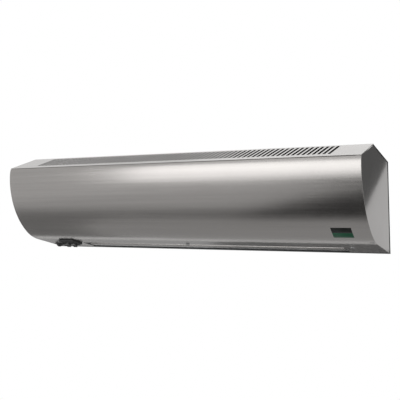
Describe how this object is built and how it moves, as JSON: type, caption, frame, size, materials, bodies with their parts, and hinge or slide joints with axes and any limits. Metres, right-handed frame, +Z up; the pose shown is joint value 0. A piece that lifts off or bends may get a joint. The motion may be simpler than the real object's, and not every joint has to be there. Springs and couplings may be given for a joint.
{
  "type": "air curtain",
  "caption": "Wall-mounted air curtain in a brushed stainless casing, with a slotted inlet on top, a cross-flow fan, electric heating and a downward outlet slot.",
  "frame": {"origin": "centre of the casing's flat back, on the face that lies on the wall", "axes": "+X along the casing's length, away from the control end; +Y out of the back, into the wall; +Z up"},
  "size_m": [0.8, 0.1887, 0.205],
  "materials": {
    "stainless": "brushed along the length",
    "dark_sheet": "satin",
    "zinc_sheet": "galvanised",
    "fan_aluminium": "mill finish",
    "bright_steel": "turned and zinc plated",
    "black_plastic": "fine moulded grain",
    "rocker_plastic": "semi-gloss",
    "black_rubber": "matt",
    "sintered_bronze": "oiled",
    "heater_sheath": "heat-darkened",
    "ivory_plastic": "moulded",
    "cast_aluminium": "cast",
    "stator_plates": "varnished plates",
    "grey_sleeve": "matt sleeve"
  },
  "bodies": {
    "casing": {"rear_panel": "dark_sheet", "front_panel": "stainless", "inlet_grille": "stainless", "left_end_plate": "stainless", "right_end_plate": "stainless", "blower_cheek_left": "zinc_sheet", "blower_cheek_right": "zinc_sheet", "fan_scroll": "zinc_sheet", "fan_tongue": "zinc_sheet", "outlet_guide_vane": "stainless", "bearing_bush": "sintered_bronze", "bearing_housing": "zinc_sheet", "motor_bracket": "zinc_sheet", "motor_front_shield": "cast_aluminium", "motor_stator": "stator_plates", "motor_rear_shield": "cast_aluminium", "heater_element_1": "heater_sheath", "heater_element_2": "heater_sheath", "heater_element_3": "heater_sheath", "heater_support": "zinc_sheet", "wiring_tray": "zinc_sheet", "switch_panel": "black_plastic", "fan_switch_body": "black_plastic", "heat_switch_body": "black_plastic", "supply_gland": "black_plastic", "supply_gland_nut": "black_plastic", "control_gland": "black_plastic", "control_gland_nut": "black_plastic", "terminal_block": "ivory_plastic", "motor_capacitor": "cast_aluminium", "capacitor_clip": "zinc_sheet", "thermal_cutout": "black_plastic", "earth_stud": "sintered_bronze", "lead_grommet_left": "black_rubber", "lead_grommet_right": "black_rubber", "motor_lead": "grey_sleeve", "flange_screw_left": "bright_steel", "flange_screw_centre": "bright_steel", "flange_screw_right": "bright_steel", "skin_rivet": "bright_steel"},
    "fan": {"fan_rotor": "fan_aluminium", "rotor_journal": "bright_steel", "motor_rotor": "bright_steel", "shaft_coupling": "black_rubber"},
    "fan_rocker": {"fan_rocker": "rocker_plastic"},
    "heat_rocker": {"heat_rocker": "rocker_plastic"}
  },
  "joints": [
    {"name": "fan_spin", "type": "hinge", "parent": "casing", "child": "fan", "pos_m": [0, -0.098, 0.022], "axis": [1, 0, 0], "continuous": true},
    {"name": "fan_switch_press", "type": "hinge", "parent": "casing", "child": "fan_rocker", "pos_m": [-0.3255, -0.07449, -0.07642], "axis": [1, 0, 0], "range_deg": [0, 16]},
    {"name": "heat_switch_press", "type": "hinge", "parent": "casing", "child": "heat_rocker", "pos_m": [-0.3075, -0.07449, -0.07642], "axis": [1, 0, 0], "range_deg": [0, 16]}
  ]
}
